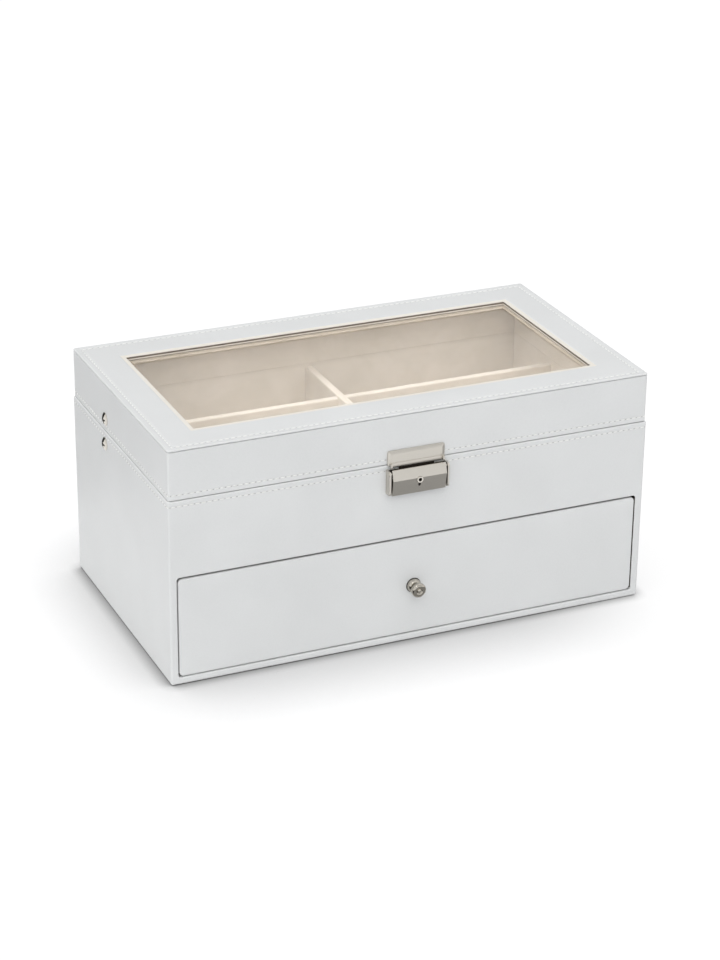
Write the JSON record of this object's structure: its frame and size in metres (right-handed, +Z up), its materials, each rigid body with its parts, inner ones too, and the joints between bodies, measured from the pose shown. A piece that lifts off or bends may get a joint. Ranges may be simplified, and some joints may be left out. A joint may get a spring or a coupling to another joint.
{
  "type": "eyeglasses storage box",
  "caption": "Leather-covered storage box with a framed glass lid on an elbow stay, a divided tray, a divided drawer and a flap lock.",
  "frame": {"origin": "under the middle of the whole object's box, on the plane it rests on", "axes": "+X along the long side to the right, +Y to the back, +Z up; the drawer and lock face -Y"},
  "size_m": [0.332, 0.1978, 0.16],
  "materials": {
    "white_leather": "white PU leather with a fine pebble grain",
    "fibreboard": "fibreboard faced with beige lining paper",
    "suede_board": "board covered in beige suede cloth",
    "felt": "pressed felt",
    "window_glass": "clear float glass",
    "polished_nickel": "polished nickel plate",
    "brushed_nickel": "brushed nickel plate",
    "nickel_hardware": "nickel-plated steel"
  },
  "bodies": {
    "base": {"base_leather_skin": "white_leather", "base_felt": "felt", "base_bottom_board": "fibreboard", "base_left_board": "fibreboard", "base_right_board": "fibreboard", "base_back_board": "fibreboard", "base_front_rail": "fibreboard", "tray_deck": "fibreboard", "tray_floor_lining": "suede_board", "tray_front_lining": "suede_board", "tray_back_lining": "suede_board", "tray_left_lining": "suede_board", "tray_right_lining": "suede_board", "tray_long_divider": "suede_board", "tray_front_cross_divider": "suede_board", "tray_rear_cross_divider": "suede_board", "hinge_base_leaves": "nickel_hardware", "hinge_pins": "nickel_hardware", "hinge_base_screws": "nickel_hardware", "stay_base_post": "polished_nickel", "lock_base_plate": "brushed_nickel", "lock_pivot_pin": "nickel_hardware", "lock_base_rivets": "nickel_hardware"},
    "lid": {"lid_leather_skin": "white_leather", "lid_front_board": "fibreboard", "lid_back_board": "fibreboard", "lid_left_board": "fibreboard", "lid_right_board": "fibreboard", "lid_front_lining": "suede_board", "lid_back_lining": "suede_board", "lid_left_lining": "suede_board", "lid_right_lining": "suede_board", "lid_top_frame": "white_leather", "glass_pane": "window_glass", "glass_retainer": "suede_board", "hinge_lid_leaves": "nickel_hardware", "hinge_lid_screws": "nickel_hardware", "stay_lid_post": "polished_nickel", "lock_lid_plate": "brushed_nickel", "lock_lid_rivets": "nickel_hardware"},
    "drawer": {"drawer_front": "white_leather", "drawer_left_side": "suede_board", "drawer_right_side": "suede_board", "drawer_back": "suede_board", "drawer_floor": "suede_board", "drawer_floor_lining": "suede_board", "drawer_long_divider": "suede_board", "drawer_front_cross_divider": "suede_board", "drawer_rear_cross_divider": "suede_board", "drawer_knob": "polished_nickel", "knob_screw": "nickel_hardware"},
    "lock_flap": {"lock_flap": "brushed_nickel"},
    "lock_barrel": {"lock_barrel": "nickel_hardware"},
    "stay_lower": {"stay_lower_link": "nickel_hardware", "stay_elbow_rivet": "nickel_hardware"},
    "stay_upper": {"stay_upper_link": "nickel_hardware"}
  },
  "joints": [
    {"name": "lid_hinge", "type": "hinge", "parent": "base", "child": "lid", "pos_m": [0.001, 0.09675, 0.1263], "axis": [-1, 0, 0], "range_deg": [0, 95]},
    {"name": "drawer_slide", "type": "slide", "parent": "base", "child": "drawer", "axis": [0, -1, 0], "range_m": [0, 0.14]},
    {"name": "lock_flap_hinge", "type": "hinge", "parent": "base", "child": "lock_flap", "pos_m": [0.001, -0.09305, 0.122], "axis": [-1, 0, 0], "range_deg": [0, 75]},
    {"name": "lock_barrel_turn", "type": "hinge", "parent": "lock_flap", "child": "lock_barrel", "pos_m": [0.001, -0.09585, 0.1164], "axis": [0, 1, 0], "range_deg": [0, 90]},
    {"name": "stay_lower_pivot", "type": "hinge", "parent": "base", "child": "stay_lower", "pos_m": [-0.1547, 0.02935, 0.1177], "axis": [-1, 0, 0], "range_deg": [0, 95]},
    {"name": "stay_upper_pivot", "type": "hinge", "parent": "lid", "child": "stay_upper", "pos_m": [-0.1533, 0.02935, 0.1349], "axis": [-1, 0, 0], "range_deg": [-95, 0]}
  ],
  "couplings": [
    {"joint": "stay_lower_pivot", "follows": "lid_hinge", "ratio": 1},
    {"joint": "stay_upper_pivot", "follows": "lid_hinge", "ratio": -1}
  ]
}
